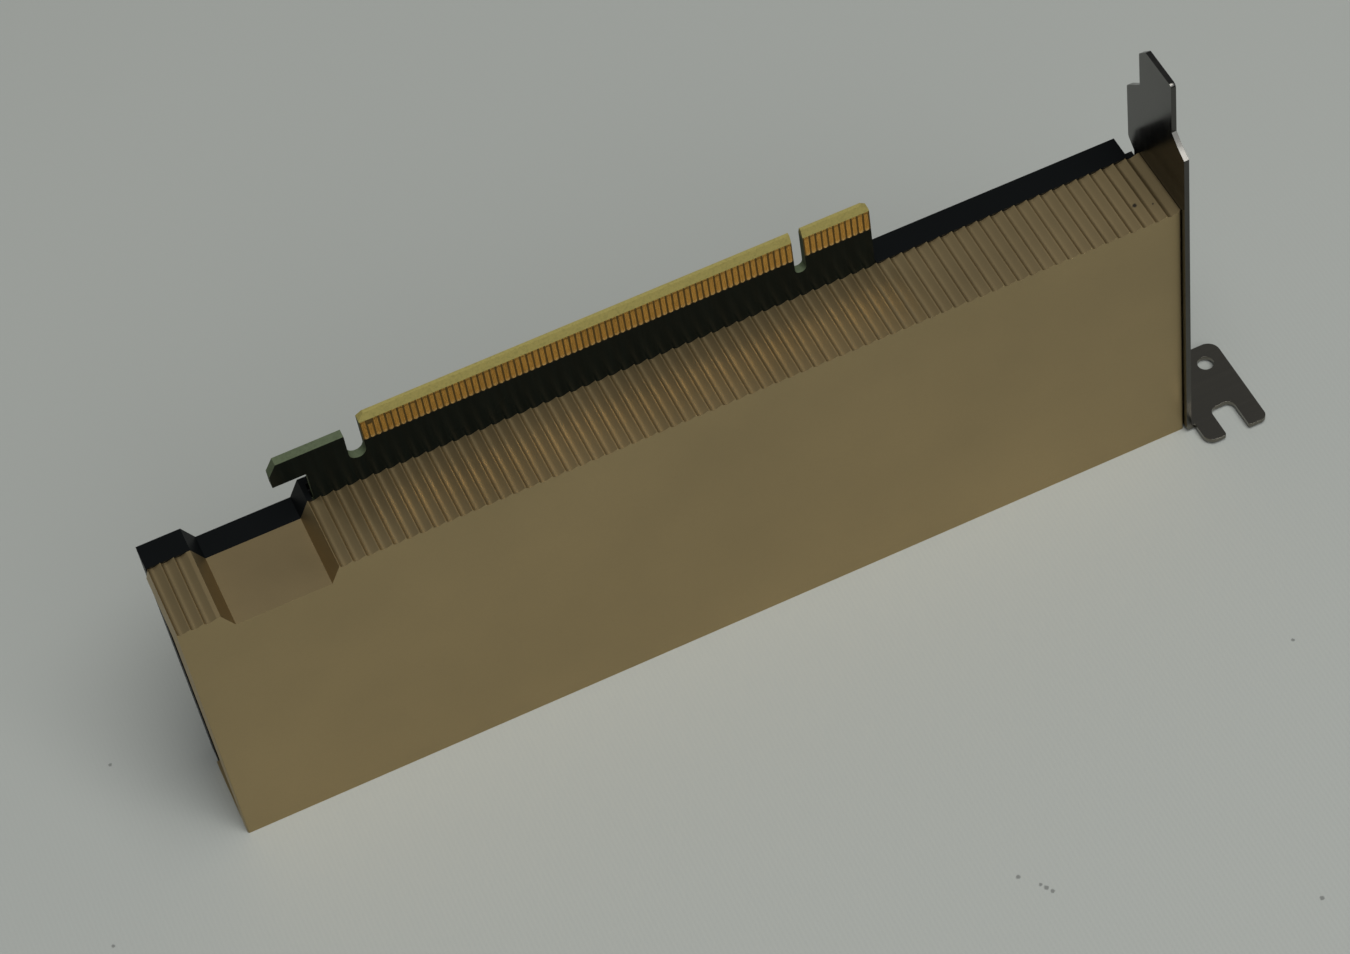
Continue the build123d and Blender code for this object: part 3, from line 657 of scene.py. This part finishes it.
def softened_copy(node, name, width, slot, reshape=None):
    """Puts a welded copy in a CAD node's place, its sharp edges rounded by a fine bevel."""
    twin = NODES[node].copy()
    twin.data = NODES[node].data.copy()
    twin.parent = None
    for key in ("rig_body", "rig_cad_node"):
        if key in twin:
            del twin[key]
    bpy.context.scene.collection.objects.link(twin)
    twin.name = name
    twin.data.name = name
    pick(twin)
    bpy.ops.object.mode_set(mode="EDIT")
    bpy.ops.mesh.select_all(action="SELECT")
    bpy.ops.mesh.remove_doubles(threshold=WELD_DISTANCE)
    bpy.ops.mesh.dissolve_limited(angle_limit=math.radians(FLAT_WITHIN))
    bpy.ops.object.mode_set(mode="OBJECT")
    if reshape:
        reshape(twin.data)
    bevel = twin.modifiers.new("rounding", "BEVEL")
    bevel.width = width
    bevel.segments = 2
    bevel.limit_method = "ANGLE"
    bevel.angle_limit = math.radians(ROUNDED_ABOVE)
    bevel.use_clamp_overlap = True
    bpy.ops.object.modifier_apply(modifier=bevel.name)
    bpy.ops.object.shade_smooth_by_angle(angle=math.radians(SMOOTH_BELOW))
    weighted = twin.modifiers.new("flat_faces", "WEIGHTED_NORMAL")
    weighted.keep_sharp = True
    weighted.weight = 100
    bpy.ops.object.modifier_apply(modifier=weighted.name)
    stand_for(twin, node, slot)


# Pieces

class CARD_OT_finishes(bpy.types.Operator):
    """Make every finish and lay it on the CAD nodes"""
    bl_idname = "card.finishes"
    bl_label = "Lay the finishes"

    def execute(self, context):
        colours = context.scene.card_colours
        sizes = context.scene.card_sizes
        GROUPS["Fine Grain"] = grain_group()
        GROUPS["Drawn Streaks"] = streak_group()
        GROUPS["Handling Marks"] = handling_group()
        GROUPS["Single Speck"] = speck_group()
        made = MATERIALS
        made["cover"] = anodised_finish(
            "gold_anodising", colours.gold, sizes.grain, metallic=1.0, rough=0.42, spots=COVER_DUST)
        made["plate"] = anodised_finish(
            "black_anodising", colours.black, sizes.grain, metallic=0.0, rough=0.4, specular=0.07)
        made["board"] = board_finish(colours)
        made["gold"] = contact_finish(colours)
        # The bracket's tab gets a painted lighter tone near the floor, standing in for light.
        made["bracket"] = drawn_finish(
            "dark_nickel", colours.nickel, metallic=1.0, rough=0.20, stretch=(1.0, 900.0, 60.0),
            bump=0.000003, foot=TAB_PAINTED_LIGHT)
        made["sink"] = drawn_finish(
            "plain_aluminium", colours.sink, metallic=1.0, rough=0.38,
            stretch=(30.0, 900.0, 2500.0), bump=0.00001)
        made["screw"] = plain_finish(
            "black_oxide", (0.02, 0.02, 0.022), metallic=0.8, rough=0.4, grain=0.0004, bump=0.00001)
        made["steel"] = plain_finish(
            "zinc_plating", (0.62, 0.62, 0.6), metallic=1.0, rough=0.3, grain=0.0006, bump=0.000008)
        made["chip"] = plain_finish(
            "chip_moulding", colours.moulding, metallic=0.0, rough=0.62, grain=0.00025,
            bump=0.00001)
        made["silicon"] = plain_finish(
            "polished_silicon", (0.07, 0.08, 0.1), metallic=0.3, rough=0.08, grain=0.002,
            bump=0.000001)
        made["substrate"] = plain_finish(
            "green_laminate", (0.02, 0.07, 0.035), metallic=0.0, rough=0.4, grain=0.0004,
            bump=0.00001)
        made["stiffener"] = plain_finish(
            "nickel_frame", (0.55, 0.55, 0.52), metallic=1.0, rough=0.35, grain=0.0006,
            bump=0.00001)
        made["ceramic"] = plain_finish(
            "ceramic_body", (0.24, 0.15, 0.08), metallic=0.0, rough=0.45, grain=0.0002,
            bump=0.00001)
        made["inductor"] = plain_finish(
            "pressed_powder", (0.07, 0.07, 0.075), metallic=0.0, rough=0.75, grain=0.0003,
            bump=0.00004, variation=0.35)
        made["can"] = plain_finish(
            "bright_can", (0.8, 0.8, 0.8), metallic=1.0, rough=0.25, grain=0.001, bump=0.000008)
        made["pad"] = plain_finish(
            "soft_pad", (0.28, 0.33, 0.42), metallic=0.0, rough=0.85, grain=0.0004, bump=0.00003)
        made["sheet"] = plain_finish(
            "black_film", (0.012, 0.012, 0.012), metallic=0.0, rough=0.45, grain=0.0008,
            bump=0.00001)
        for entry in frame["record"]["subparts"]:
            dress(NODES[entry["node"]], made[entry["material_slot"]])
        return {"FINISHED"}


class CARD_OT_bracket(bpy.types.Operator):
    """Round the sheared edges of the slot bracket"""
    bl_idname = "card.bracket"
    bl_label = "Slot bracket"

    def execute(self, context):
        softened_copy("slot_bracket", "bracket_sheet", context.scene.card_sizes.edge, "bracket")
        return {"FINISHED"}


class CARD_OT_housing(bpy.types.Operator):
    """Break the edges of the ribbed cover and of the back plate"""
    bl_idname = "card.housing"
    bl_label = "Cover and back plate"

    def execute(self, context):
        edge = context.scene.card_sizes.edge
        softened_copy("ribbed_cover", "fluted_cover", edge * COVER_EDGE_SHARE, "cover", lean_flutes)
        softened_copy("back_plate", "rear_plate", edge, "plate")
        return {"FINISHED"}


class CARD_OT_inlet(bpy.types.Operator):
    """Round the rims of the capacitor cans and the edges of the inductors in the inlet"""
    bl_idname = "card.inlet"
    bl_label = "Inlet parts"

    def execute(self, context):
        softened_copy("bulk_capacitors", "capacitor_cans", CAN_RIM, "can")
        softened_copy("power_inductors", "inductor_blocks", INDUCTOR_EDGE, "inductor")
        return {"FINISHED"}


def star_screw(radius, head, shank_radius, shank_length, sizes):
    """One screw at the origin, its head up the Z axis, with a lobed recess in the head."""
    pick()
    bpy.ops.mesh.primitive_cylinder_add(
        vertices=HEAD_SIDES, radius=radius, depth=head, location=(0, 0, 0))
    screw = bpy.context.object
    bpy.ops.object.mode_set(mode="EDIT")
    bpy.ops.mesh.select_all(action="DESELECT")
    bpy.ops.object.mode_set(mode="OBJECT")
    for face in screw.data.polygons:
        face.select = face.normal.z > 0.9
    bpy.ops.object.mode_set(mode="EDIT")
    bpy.ops.mesh.inset(thickness=radius * RIM_WIDTH, depth=0.0)
    bpy.ops.mesh.inset(thickness=radius * (1.0 - RIM_WIDTH) - sizes.recess_radius, depth=0.0)
    bpy.ops.object.mode_set(mode="OBJECT")
    top = [face for face in screw.data.polygons if face.select][0]
    for index in top.vertices:
        vertex = screw.data.vertices[index]
        angle = math.atan2(vertex.co.y, vertex.co.x)
        lobe = 1.0 - LOBE_DEPTH + LOBE_DEPTH * math.cos(LOBES * angle)
        vertex.co.x *= lobe
        vertex.co.y *= lobe
    bpy.ops.object.mode_set(mode="EDIT")
    bpy.ops.mesh.extrude_region_move(TRANSFORM_OT_translate={"value": (0, 0, -sizes.recess_depth)})
    bpy.ops.mesh.inset(
        thickness=sizes.recess_radius * RECESS_FLOOR, depth=-sizes.recess_depth * RECESS_DISH)
    bpy.ops.object.mode_set(mode="OBJECT")
    bevel = screw.modifiers.new("rim", "BEVEL")
    bevel.width = head * RIM_ROUNDING
    bevel.segments = 2
    bevel.limit_method = "ANGLE"
    bevel.angle_limit = math.radians(RIM_ABOVE)
    bpy.ops.object.modifier_apply(modifier=bevel.name)
    bpy.ops.mesh.primitive_cylinder_add(
        vertices=SHANK_SIDES, radius=shank_radius, depth=shank_length,
        location=(0, 0, -head / 2 - shank_length / 2))
    shank = bpy.context.object
    bpy.ops.object.mode_set(mode="EDIT")
    bpy.ops.mesh.select_all(action="SELECT")
    bpy.ops.mesh.bevel(offset=shank_radius * SHANK_CHAMFER, segments=1, affect="EDGES")
    bpy.ops.object.mode_set(mode="OBJECT")
    screw = join_as([screw, shank], "star_screw")
    bpy.ops.object.shade_smooth_by_angle(angle=math.radians(SCREW_SMOOTH))
    return screw


def screw_group(node, name, screw, sizes, slot):
    """Copies one modelled screw onto every solid of a screw node."""
    head_radius, head, shank_radius, head_side = screw
    boxes = islands(node)
    low, high = boxes[0]
    pattern = star_screw(head_radius, head, shank_radius, high.y - low.y - head, sizes)
    turn = Matrix.Rotation(math.radians(-90 * head_side), 4, "X")
    copies = []
    for low, high in boxes:
        face = high.y if head_side > 0 else low.y
        place = Vector(((low.x + high.x) / 2, face - head_side * head / 2, (low.z + high.z) / 2))
        copies.append(copy_of(pattern, place, turn))
    bpy.data.objects.remove(pattern)
    stand_for(join_as(copies, name), node, slot)


class CARD_OT_screws(bpy.types.Operator):
    """Model the screws of the back plate, the heat sink and the bracket"""
    bl_idname = "card.screws"
    bl_label = "Screws"

    def execute(self, context):
        sizes = context.scene.card_sizes
        screw_group("cover_screws", "cover_screw_set", COVER_SCREW, sizes, "screw")
        screw_group("sink_screws", "sink_screw_set", SINK_SCREW, sizes, "screw")
        screw_group("bracket_screws", "bracket_screw_set", BRACKET_SCREW, sizes, "steel")
        return {"FINISHED"}


class CARD_OT_stage(bpy.types.Operator):
    """Pale cloth, soft studio lamps and the camera"""
    bl_idname = "card.stage"
    bl_label = "Studio"

    def execute(self, context):
        scene = context.scene
        pick()
        bpy.ops.mesh.primitive_plane_add(size=CLOTH_SIDE, location=(0, 0, 0))
        floor = context.object
        floor.name = "cloth"
        dress(floor, cloth_finish(scene.card_colours, scene.card_sizes))

        world = bpy.data.worlds.new("soft_room")
        scene.world = world
        world.use_nodes = True
        tree = world.node_tree
        tree.nodes.clear()
        out = tree.nodes.new("ShaderNodeOutputWorld")
        sky = tree.nodes.new("ShaderNodeBackground")
        direction = tree.nodes.new("ShaderNodeTexCoord").outputs["Generated"]
        side = add_node(tree, "ShaderNodeVectorMath", operation="DOT_PRODUCT")
        tree.links.new(direction, side.inputs[0])
        side.inputs[1].default_value = BRIGHT_SIDE
        level = range_node(tree, side.outputs["Value"], *ROOM_RISE, *ROOM_STRENGTH)
        tree.links.new(level, sky.inputs["Strength"])
        sky.inputs["Color"].default_value = ROOM_TINT
        tree.links.new(sky.outputs[0], out.inputs["Surface"])

        for name, place, size, power, tint in LAMPS:
            data = bpy.data.lights.new(name, "AREA")
            data.size = size
            data.energy = power
            data.color = tint
            lamp = bpy.data.objects.new(name, data)
            scene.collection.objects.link(lamp)
            lamp.location = place
            aim = Vector(LAMP_AIM) - Vector(place)
            lamp.rotation_euler = aim.to_track_quat("-Z", "Y").to_euler()

        data = bpy.data.cameras.new("view")
        data.sensor_fit = "HORIZONTAL"
        data.sensor_width = SENSOR_WIDTH
        data.lens = CAMERA_LENS
        data.clip_start = CLIP_START
        camera = bpy.data.objects.new("view", data)
        scene.collection.objects.link(camera)
        camera.location = CAMERA_PLACE
        camera.rotation_euler = [math.radians(angle) for angle in CAMERA_TURN]
        scene.camera = camera
        scene.view_settings.view_transform = "Standard"
        return {"FINISHED"}


class CARD_PT_panel(bpy.types.Panel):
    bl_idname = "CARD_PT_panel"
    bl_label = "Accelerator Card"
    bl_space_type = "VIEW_3D"
    bl_region_type = "UI"
    bl_category = "Card"

    def draw(self, context):
        layout = self.layout
        for settings in (context.scene.card_colours, context.scene.card_sizes):
            box = layout.box()
            for key in settings.__annotations__:
                box.prop(settings, key)
        for operator in OPERATORS:
            layout.operator(operator.bl_idname)


OPERATORS = (
    CARD_OT_finishes, CARD_OT_bracket, CARD_OT_housing, CARD_OT_inlet, CARD_OT_screws,
    CARD_OT_stage)
CLASSES = (CardColours, CardSizes, *OPERATORS, CARD_PT_panel)


def register():
    for cls in CLASSES:
        bpy.utils.register_class(cls)
    bpy.types.Scene.card_colours = bpy.props.PointerProperty(type=CardColours)
    bpy.types.Scene.card_sizes = bpy.props.PointerProperty(type=CardSizes)


def unregister():
    del bpy.types.Scene.card_sizes
    del bpy.types.Scene.card_colours
    for cls in reversed(CLASSES):
        bpy.utils.unregister_class(cls)


def main():
    register()
    bpy.ops.card.finishes()
    bpy.ops.card.bracket()
    bpy.ops.card.housing()
    bpy.ops.card.inlet()
    bpy.ops.card.screws()
    bpy.ops.card.stage()


if __name__ == "__main__":
    main()
